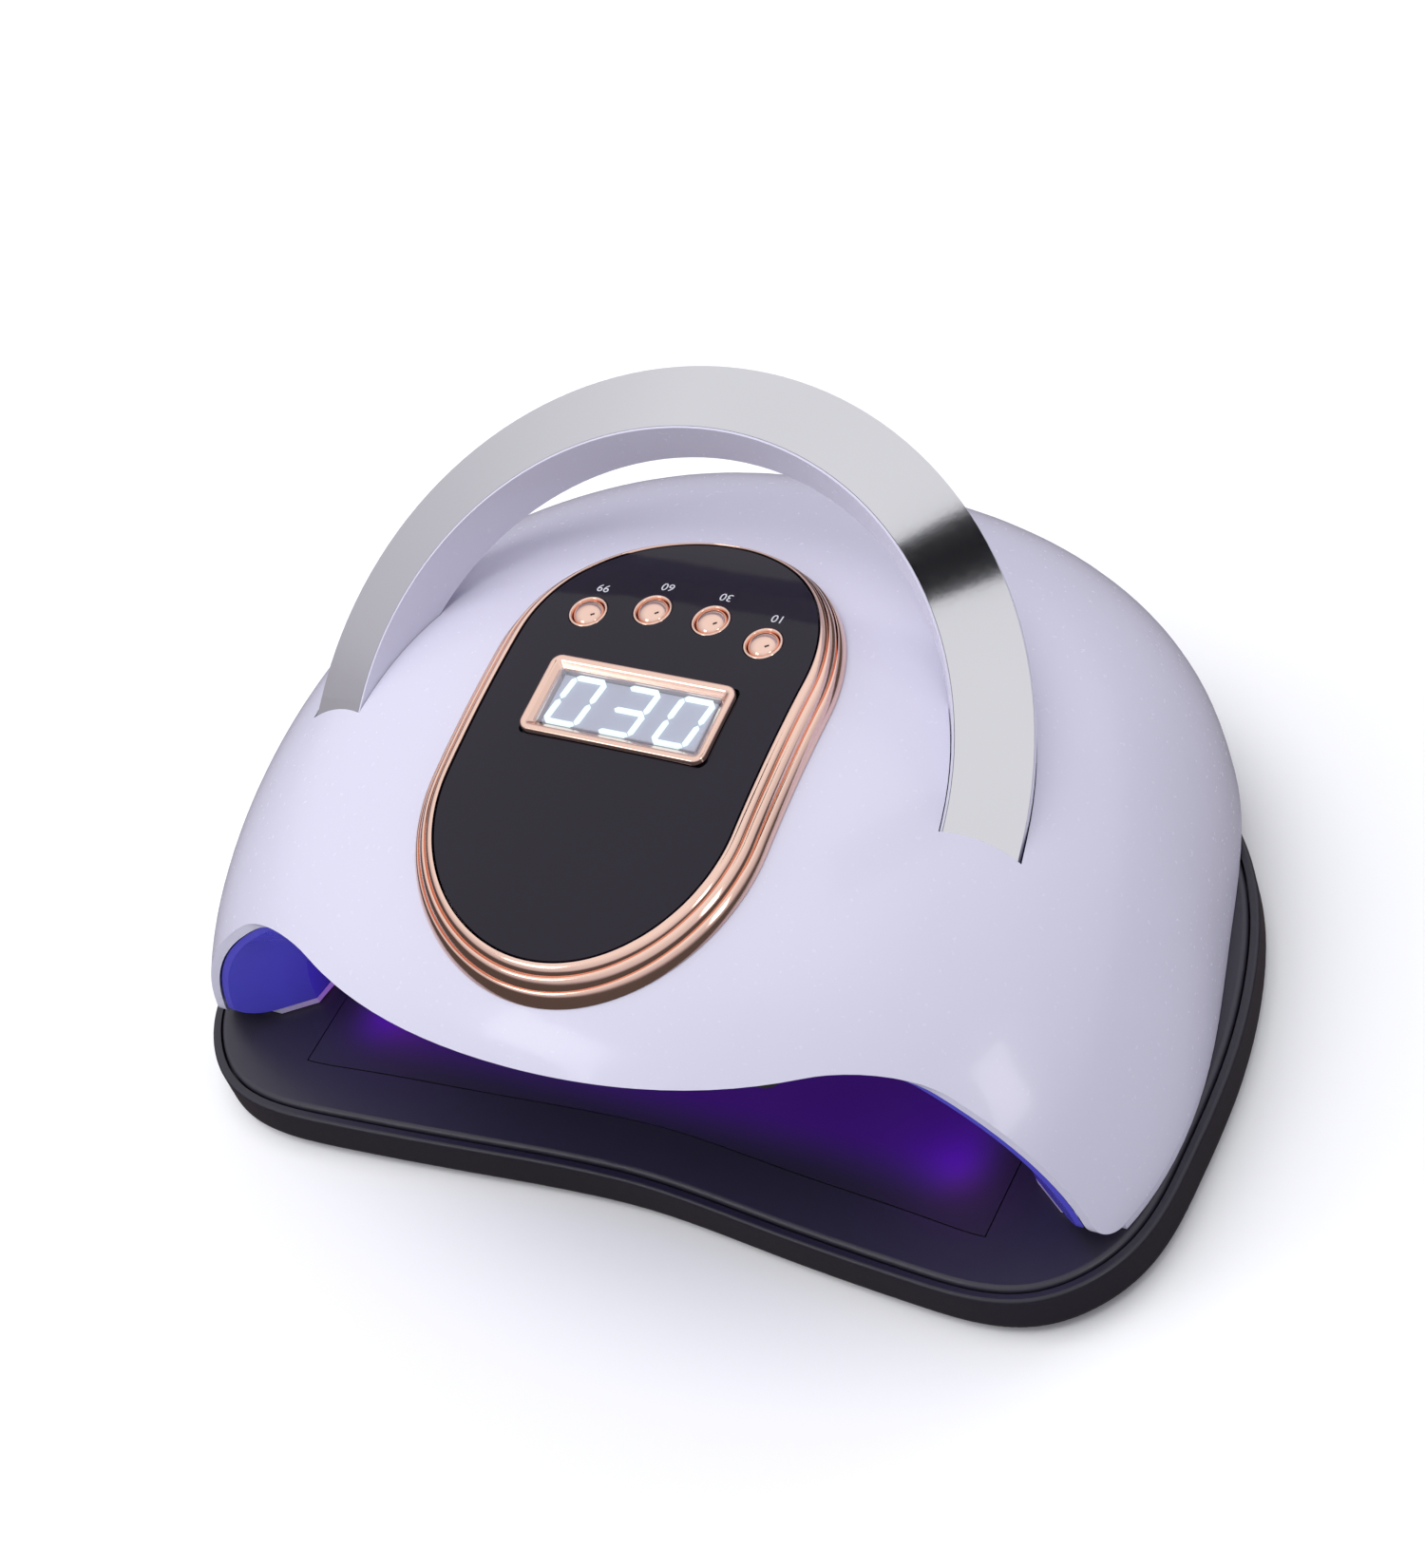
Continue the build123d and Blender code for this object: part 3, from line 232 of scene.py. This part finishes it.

# The reflector sheet: a thin satin metal sheet let into the base plate under the hand, which throws the
# lamps' light back up.
# The lamps' violet light on it is painted: towards its middle its colour goes deep violet and it emits
# a painted glow, fading back to the plate's colour at its edges.
sheet_with_painted_glow = moulding("sheet_with_painted_glow", (0.030, 0.010, 0.105), 0.34, 0.0008, 0.00003, 0.08)
sheet_shader = sheet_with_painted_glow.node_tree.nodes["Principled BSDF"]
sheet_tree = sheet_with_painted_glow.node_tree
sheet_place = sheet_tree.nodes.new("ShaderNodeTexCoord")
sheet_axes = sheet_tree.nodes.new("ShaderNodeSeparateXYZ")
sheet_tree.links.new(sheet_place.outputs["Object"], sheet_axes.inputs["Vector"])
sheet_half_width = 86.0
sheet_front = -71.0
side_fade = 14.0
front_fade = 15.0
sheet_side = sheet_tree.nodes.new("ShaderNodeMath")
sheet_side.operation = "ABSOLUTE"
sheet_tree.links.new(sheet_axes.outputs["X"], sheet_side.inputs[0])
sheet_inward = sheet_tree.nodes.new("ShaderNodeMapRange")
sheet_inward.interpolation_type = "SMOOTHSTEP"
sheet_inward.inputs["From Min"].default_value = sheet_half_width * mm
sheet_inward.inputs["From Max"].default_value = (sheet_half_width - side_fade) * mm
sheet_tree.links.new(sheet_side.outputs[0], sheet_inward.inputs["Value"])
sheet_back = sheet_tree.nodes.new("ShaderNodeMapRange")
sheet_back.interpolation_type = "SMOOTHSTEP"
sheet_back.inputs["From Min"].default_value = sheet_front * mm
sheet_back.inputs["From Max"].default_value = (sheet_front + front_fade) * mm
sheet_tree.links.new(sheet_axes.outputs["Y"], sheet_back.inputs["Value"])
# Painted glow mask: 1 in the middle of the sheet, fading to 0 towards its sides and front edge.
painted_glow_mask = sheet_tree.nodes.new("ShaderNodeMath")
painted_glow_mask.operation = "MULTIPLY"
sheet_tree.links.new(sheet_inward.outputs["Result"], painted_glow_mask.inputs[0])
sheet_tree.links.new(sheet_back.outputs["Result"], painted_glow_mask.inputs[1])
# Painted light: under the mask the colour blends from the plate's to deep violet.
painted_glow_colour = sheet_tree.nodes.new("ShaderNodeValToRGB")
painted_glow_colour.color_ramp.elements[0].color = (0.026, 0.023, 0.036, 1)
painted_glow_colour.color_ramp.elements[1].color = (0.036, 0.006, 0.125, 1)
sheet_tree.links.new(painted_glow_mask.outputs[0], painted_glow_colour.inputs["Fac"])
sheet_tree.links.new(painted_glow_colour.outputs["Color"], sheet_shader.inputs["Base Color"])
sheet_tree.links.new(painted_glow_colour.outputs["Color"], sheet_shader.inputs["Emission Color"])
# Painted glow: the sheet emits its violet colour, with a strength that follows the mask.
painted_glow_strength = sheet_tree.nodes.new("ShaderNodeMath")
painted_glow_strength.operation = "MULTIPLY"
painted_glow_strength.inputs[1].default_value = 0.55
sheet_tree.links.new(painted_glow_mask.outputs[0], painted_glow_strength.inputs[0])
sheet_tree.links.new(painted_glow_strength.outputs[0], sheet_shader.inputs["Emission Strength"])
dress(sheet_with_painted_glow, "reflector_sheet")

# The feet: five soft black rubber pads glued under the tray, four near its corners and one
# in the middle, matt and slightly rough.
foot_rubber = moulding("foot_rubber", (0.02, 0.02, 0.02), 0.8, 0.0006, 0.00006, 0.1)
dress(foot_rubber, "rubber_feet")

# The magnets and their catch plates: nickel-plated discs that hold the lamp on its base.
# The magnets are glued into the base plate, and the plates into the frame over them.
def plated(name, colour, gloss, drift, metal=1.0):
    finish = moulding(name, colour, gloss, 0.0015, 0.00001, drift)
    finish.node_tree.nodes["Principled BSDF"].inputs["Metallic"].default_value = metal
    return finish


nickel = plated("nickel", (0.55, 0.55, 0.57), 0.22, 0.05)
dress(nickel, "base_magnets", "catch_plates")

# The top shell: one injection-moulded dome in pale lavender white, satin gloss under a thin
# clear coat, with the lower frame screwed into its open underside in the same plastic.
shell_plastic = moulding("shell_plastic", (0.62, 0.605, 0.735), 0.26, 0.0012, 0.000012, 0.012, 0.35)
dress(shell_plastic, "top_shell", "lower_frame", "handle_body")

# The light hood: the smooth inner wall of the hand chamber, glossy white plastic. The lamps'
# blue-violet light on it is painted: its colour is blue violet with a faint painted glow, bright at the
# front flare and painted darker, as shade, deeper in the chamber. Round beads sit in its holes, on bent
# strips behind it.
hood_gloss_painted_glow = moulding("hood_gloss_painted_glow", (0.055, 0.050, 0.40), 0.22, 0.01, 0.00001, 0.1, 0.4)
hood_tree = hood_gloss_painted_glow.node_tree
hood_place = hood_tree.nodes.new("ShaderNodeTexCoord")
hood_axes = hood_tree.nodes.new("ShaderNodeSeparateXYZ")
hood_tree.links.new(hood_place.outputs["Object"], hood_axes.inputs["Vector"])
# Painted light and shade: bright blue violet at the front flare, painted dark deeper in the chamber.
hood_painted_shade_depth = hood_tree.nodes.new("ShaderNodeMapRange")
flare_back = -62.0
painted_dark_from = -45.0
hood_painted_shade_depth.inputs["From Min"].default_value = flare_back * mm
hood_painted_shade_depth.inputs["From Max"].default_value = painted_dark_from * mm
hood_tree.links.new(hood_axes.outputs["Y"], hood_painted_shade_depth.inputs["Value"])
hood_painted_light_shade = hood_tree.nodes.new("ShaderNodeValToRGB")
hood_painted_light_shade.color_ramp.elements[0].color = (0.055, 0.050, 0.42, 1)
hood_painted_light_shade.color_ramp.elements[1].color = (0.020, 0.010, 0.085, 1)
hood_tree.links.new(hood_painted_shade_depth.outputs["Result"], hood_painted_light_shade.inputs["Fac"])
hood_shader = hood_tree.nodes["Principled BSDF"]
hood_tree.links.new(hood_painted_light_shade.outputs["Color"], hood_shader.inputs["Base Color"])
hood_tree.links.new(hood_painted_light_shade.outputs["Color"], hood_shader.inputs["Emission Color"])
# Painted glow: the white plastic wall emits its painted colour.
hood_shader.inputs["Emission Strength"].default_value = 0.25
dress(hood_gloss_painted_glow, "light_hood")
glow_height = 22.0
for glow_side, glow_x, glow_y in [("left", -72.0, -56.0), ("right", 74.0, -60.0)]:
    glow = bpy.data.lights.new("glow_" + glow_side, "POINT")
    glow.energy = 0.010
    glow.color = (0.46, 0.04, 0.85)
    glow.shadow_soft_size = 0.006
    glow_holder = bpy.data.objects.new("glow_" + glow_side, glow)
    bpy.context.scene.collection.objects.link(glow_holder)
    glow_holder.location = Vector((glow_x, glow_y, glow_height)) * mm
    glow_holder.visible_glossy = False
bead_lens = moulding("bead_lens", (0.55, 0.5, 0.95), 0.1, 0.01, 0.00001, 0.05, 0.8)
bead_shader = bead_lens.node_tree.nodes["Principled BSDF"]
bead_shader.inputs["Emission Color"].default_value = (0.45, 0.4, 1.0, 1)
bead_shader.inputs["Emission Strength"].default_value = 1.2
dress(bead_lens, "uv_leds")

# The boards and what is fixed to them: green printed circuit boards with black moulded
# parts, the black back panel with its jack, and the zinc-plated steel screws of the lamp.
board_mask = moulding("board_mask", (0.02, 0.16, 0.07), 0.35, 0.002, 0.00002, 0.2)
dress(board_mask, "led_strips", "driver_board", "control_board")
black_part = moulding("black_part", (0.02, 0.02, 0.024), 0.45, 0.0007, 0.00003, 0.1)
dress(black_part, "driver_parts", "tact_switches", "back_panel", "dc_jack", "sensor_eye")
zinc = plated("zinc", (0.5, 0.5, 0.52), 0.3, 0.06)
dress(zinc, "frame_screws", "board_screws", "driver_screws", "handle_tabs")
dress(zinc, "handle_screws", "back_screws", "tray_screws", "jack_pin")

# The control panel: a glossy black-violet plastic plate that follows the dome, pressed into
# the ring from above.
panel_gloss = moulding("panel_gloss", (0.010, 0.007, 0.016), 0.10, 0.003, 0.000004, 0.1)
panel_shader = panel_gloss.node_tree.nodes["Principled BSDF"]
panel_shader.inputs["Specular IOR Level"].default_value = 0.3
dress(panel_gloss, "panel_plate")

# The ring: rose gold plated plastic with three soft rounded ribs, one moulding that hugs the
# dome round the panel's edge. It gets narrow behind, and its ribs step down outwards.
rose_gold = plated("rose_gold", (0.90, 0.63, 0.53), 0.11, 0.03)
shell_mesh = nodes["top_shell"].data
shell_faces = BVHTree.FromPolygons(
    [v.co for v in shell_mesh.vertices], [tuple(f.vertices) for f in shell_mesh.polygons]
)


def shell_height(x, y):
    hit = shell_faces.ray_cast(Vector((x * mm, y * mm, 0.2)), Vector((0, 0, -1)))
    return hit[0].z / mm


bend_share = 0.35
side_share = 0.15


def oval_point(turn, half_width, front, back):
    straight = back - front - 2 * half_width
    if turn < bend_share:
        angle = math.pi * (1 + turn / bend_share)
        return half_width * math.cos(angle), front + half_width * (1 + math.sin(angle))
    if turn < 0.5:
        return half_width, front + half_width + straight * (turn - bend_share) / side_share
    if turn < 0.5 + bend_share:
        angle = math.pi * (turn - 0.5) / bend_share
        return half_width * math.cos(angle), back - half_width * (1 - math.sin(angle))
    return -half_width, back - half_width - straight * (turn - 0.5 - bend_share) / side_share


ring_inner = (34.55, -76.85, 29.45)
ring_outer = (40.85, -82.55, 31.85)
rib_steps = 8
rib_swell = 1.15
ring_section = [(0.0, 0.6), (0.0, 4.3)]
for rib_from, rib_to, high_from, high_to in [
    (0.0, 0.37, 4.5, 4.0),
    (0.37, 0.70, 3.7, 2.5),
    (0.70, 1.0, 2.2, 0.4),
]:
    for k in range(rib_steps + 1):
        u = k / rib_steps
        swell = rib_swell * math.sqrt(max(0.0, 1 - (2 * u - 1) ** 2))
        rise = high_from + (high_to - high_from) * u + swell * (1 - 0.25 * u)
        ring_section.append((rib_from + (rib_to - rib_from) * (0.02 + 0.96 * u), rise))
ring_section.append((1.0, 0.2))
ring_section.append((0.5, 0.3))


def loop_mesh(name, rows, finish, crease=40):
    mesh = bpy.data.meshes.new(name)
    count = len(rows[0])
    points = [p for row in rows for p in row]
    faces = []
    for a in range(len(rows)):
        b = (a + 1) % len(rows)
        for c in range(count):
            d = (c + 1) % count
            faces.append((a * count + c, b * count + c, b * count + d, a * count + d))
    mesh.from_pydata([Vector(p) * mm for p in points], [], faces)
    mesh.materials.append(finish)
    shape = bmesh.new()
    shape.from_mesh(mesh)
    bmesh.ops.recalc_face_normals(shape, faces=shape.faces)
    shape.to_mesh(mesh)
    shape.free()
    mesh.shade_smooth()
    mesh.set_sharp_from_angle(angle=math.radians(crease))
    piece = bpy.data.objects.new(name, mesh)
    bpy.context.scene.collection.objects.link(piece)
    return piece


ring_steps = 260
ring_rows = []
for step in range(ring_steps):
    turn = step / ring_steps
    near = oval_point(turn, *ring_inner)
    wide = oval_point(turn, *ring_outer)
    row = []
    for share, rise in ring_section:
        x = near[0] + (wide[0] - near[0]) * share
        y = near[1] + (wide[1] - near[1]) * share
        row.append((x, y, shell_height(x, y) + rise))
    ring_rows.append(row)
ring = loop_mesh("ribbed_ring", ring_rows, rose_gold)
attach(ring, "lamp")
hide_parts("bezel_ring")

# The buttons: four domed caps plated like the ring, each with its stem and flange, in a thin
# rounded collar pressed into the panel. Its number is printed in pale grey behind it.
button_places = [("99", -21.5, 2.3), ("60", -7.2, 5.8), ("30", 7.2, 5.8), ("10", 21.5, 2.3)]
cap_radius = 3.55
cap_edge_z = 97.55
cap_dome = 2.25
dome_steps = 16
cap_steps = 64
middle_bore = 0.02
cap_section = [(middle_bore, 90.95), (1.5, 90.95), (1.5, 95.25)]
cap_section += [(4.45, 95.25), (4.45, 96.05), (cap_radius, 96.05)]
for k in range(dome_steps + 1):
    lean = math.pi / 2 * k / dome_steps
    reach = max(cap_radius * math.cos(lean), middle_bore)
    cap_section.append((reach, cap_edge_z + cap_dome * math.sin(lean)))
for number, x, y in button_places:
    cap_rows = []
    for step in range(cap_steps):
        angle = 2 * math.pi * step / cap_steps
        cap_rows.append([(x + r * math.cos(angle), y + r * math.sin(angle), z) for r, z in cap_section])
    cap = loop_mesh("cap_" + number, cap_rows, rose_gold, 50)
    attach(cap, "button_" + number)
    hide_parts("button_" + number)
collar_steps = 48
collar_section = [(3.66, 96.4), (3.66, 98.35), (3.80, 98.68), (4.02, 98.82)]
collar_section += [(4.24, 98.72), (4.38, 98.4), (4.4, 96.4)]
collar_parts = []
for number, x, y in button_places:
    collar_rows = []
    for step in range(collar_steps):
        angle = 2 * math.pi * step / collar_steps
        collar_rows.append(
            [(x + r * math.cos(angle), y + r * math.sin(angle), z) for r, z in collar_section]
        )
    collar_parts.append(loop_mesh("collar_" + number, collar_rows, rose_gold, 60))
for collar in collar_parts:
    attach(collar, "lamp")
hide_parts("button_collars")

print_white = moulding("print_white", (0.62, 0.62, 0.68), 0.5, 0.002, 0.000004, 0.05)
panel_mesh = nodes["panel_plate"].data
panel_faces = BVHTree.FromPolygons(
    [v.co for v in panel_mesh.vertices], [tuple(f.vertices) for f in panel_mesh.polygons]
)
number_size = 3.1
number_back = 7.4
ink_thickness = 0.03
ink_lift = 0.04
for number, x, y in button_places:
    letters = bpy.data.curves.new("number_" + number, "FONT")
    letters.body = number
    letters.size = number_size * mm
    letters.align_x = "CENTER"
    letters.align_y = "CENTER"
    letters.extrude = ink_thickness * mm
    written = bpy.data.objects.new("number_draft", letters)
    bpy.context.scene.collection.objects.link(written)
    bpy.context.view_layer.update()
    number_mesh = bpy.data.meshes.new_from_object(written)
    bpy.data.objects.remove(written)
    for point in number_mesh.vertices:
        px = x * mm - point.co.x
        py = (y + number_back) * mm - point.co.y
        under = panel_faces.ray_cast(Vector((px, py, 0.2)), Vector((0, 0, -1)))
        point.co = (px, py, under[0].z + ink_lift * mm + point.co.z)
    number_mesh.materials.clear()
    number_mesh.materials.append(print_white)
    printed = bpy.data.objects.new("number_" + number, number_mesh)
    bpy.context.scene.collection.objects.link(printed)
    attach(printed, "lamp")

# The handle's face strip: a thin bright strip of polished chrome plate, glued into a shallow
# recess along the arched handle.
chrome = plated("chrome", (0.66, 0.66, 0.70), 0.10, 0.02)
dress(chrome, "handle_trim")

# The display: a plated frame with rounded corners and a sloping inner edge, and a clear
# plastic window. Behind it the pale grey face of a segment module carries three lit digits,
# made of slim pointed strokes that lean to the right.
display_tilt = math.radians(6.0)
display_middle = Vector((0, -20.6, 98.0))
display_up = Vector((0, math.cos(display_tilt), math.sin(display_tilt)))
display_out = Vector((0, -math.sin(display_tilt), math.cos(display_tilt)))
frame_half_width = 22.5
frame_half_height = 9.9
frame_corner = 2.6
inner_corner = 0.5
corner_steps = 9
frame_section = [(0.0, -2.4), (0.0, 0.35), (0.18, 0.68), (0.5, 0.85), (1.0, 0.88)]
frame_section += [(1.45, 0.72), (1.75, 0.4), (2.75, -0.55), (2.95, -0.75), (2.95, -2.4)]
frame_rows = []
for corner_x, corner_y, quarter in [(1, 1, 0), (-1, 1, 1), (-1, -1, 2), (1, -1, 3)]:
    for step in range(corner_steps + 1):
        angle = math.pi / 2 * (quarter + step / corner_steps)
        row = []
        for inset, rise in frame_section:
            bend = max(frame_corner - inset, inner_corner)
            u = corner_x * (frame_half_width - inset - bend) + bend * math.cos(angle)
            v = corner_y * (frame_half_height - inset - bend) + bend * math.sin(angle)
            row.append(display_middle + Vector((u, 0, 0)) + display_up * v + display_out * rise)
        frame_rows.append(row)
plated_frame = loop_mesh("display_rim", frame_rows, rose_gold, 50)
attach(plated_frame, "lamp")
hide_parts("display_frame")
module_face_painted_glow = moulding("module_face_painted_glow", (0.42, 0.43, 0.52), 0.5, 0.003, 0.00001, 0.12)
# Painted glow: the module's pale grey face emits a faint light of its own colour, though only its
# digits are lit.
module_shader = module_face_painted_glow.node_tree.nodes["Principled BSDF"]
module_shader.inputs["Emission Color"].default_value = (0.42, 0.45, 0.56, 1)
module_shader.inputs["Emission Strength"].default_value = 0.25
dress(module_face_painted_glow, "display_module")
window_clear = moulding("window_clear", (0.5, 0.52, 0.6), 0.05, 0.01, 0.000002, 0.02)
window_shader = window_clear.node_tree.nodes["Principled BSDF"]
window_shader.inputs["Alpha"].default_value = 0.25
dress(window_clear, "display_window")
digit_light = moulding("digit_light", (0.30, 0.40, 0.42), 0.4, 0.003, 0.00001, 0.02)
digit_shader = digit_light.node_tree.nodes["Principled BSDF"]
digit_shader.inputs["Emission Color"].default_value = (0.78, 0.98, 1.0, 1)
digit_shader.inputs["Emission Strength"].default_value = 1.35
bar = 0.62
side = 4.3 - bar
end = 6.4 - bar
digit_pitch = 13.2
digit_lean = 0.194
stroke_gap = 0.15
stroke_low = -1.35
stroke_high = -0.95
stroke_places = {
    "a": (0, end, 1, 0),
    "g": (0, 0, 1, 0),
    "d": (0, -end, 1, 0),
    "b": (side, end / 2, 0, 1),
    "c": (side, -end / 2, 0, 1),
    "e": (-side, -end / 2, 0, 1),
    "f": (-side, end / 2, 0, 1),
}
stroke_points = []
stroke_faces = []
for place, lit_strokes in [(-1, "abcdef"), (0, "abcdg"), (1, "abcdef")]:
    for stroke in lit_strokes:
        middle_u, middle_v, along_u, along_v = stroke_places[stroke]
        reach = side * along_u + end / 2 * along_v - stroke_gap
        outline = [(-reach, 0), (-reach + bar, bar), (reach - bar, bar)]
        outline += [(reach, 0), (reach - bar, -bar), (-reach + bar, -bar)]
        first = len(stroke_points)
        for rise in (stroke_low, stroke_high):
            for p, q in outline:
                v = middle_v + p * along_v + q * along_u
                u = place * digit_pitch + middle_u + p * along_u - q * along_v + digit_lean * v
                across = Vector((u, 0, 0)) + display_up * v + display_out * rise
                stroke_points.append((display_middle + across) * mm)
        stroke_faces.append(tuple(first + k for k in reversed(range(6))))
        stroke_faces.append(tuple(first + 6 + k for k in range(6)))
        for k in range(6):
            n = (k + 1) % 6
            stroke_faces.append((first + k, first + n, first + 6 + n, first + 6 + k))
digit_mesh = bpy.data.meshes.new("lit_digits")
digit_mesh.from_pydata(stroke_points, [], stroke_faces)
digit_mesh.materials.append(digit_light)
digit_shape = bmesh.new()
digit_shape.from_mesh(digit_mesh)
bmesh.ops.recalc_face_normals(digit_shape, faces=digit_shape.faces)
digit_shape.to_mesh(digit_mesh)
digit_shape.free()
lit_digits = bpy.data.objects.new("lit_digits", digit_mesh)
bpy.context.scene.collection.objects.link(lit_digits)
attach(lit_digits, "lamp")
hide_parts("display_digits")
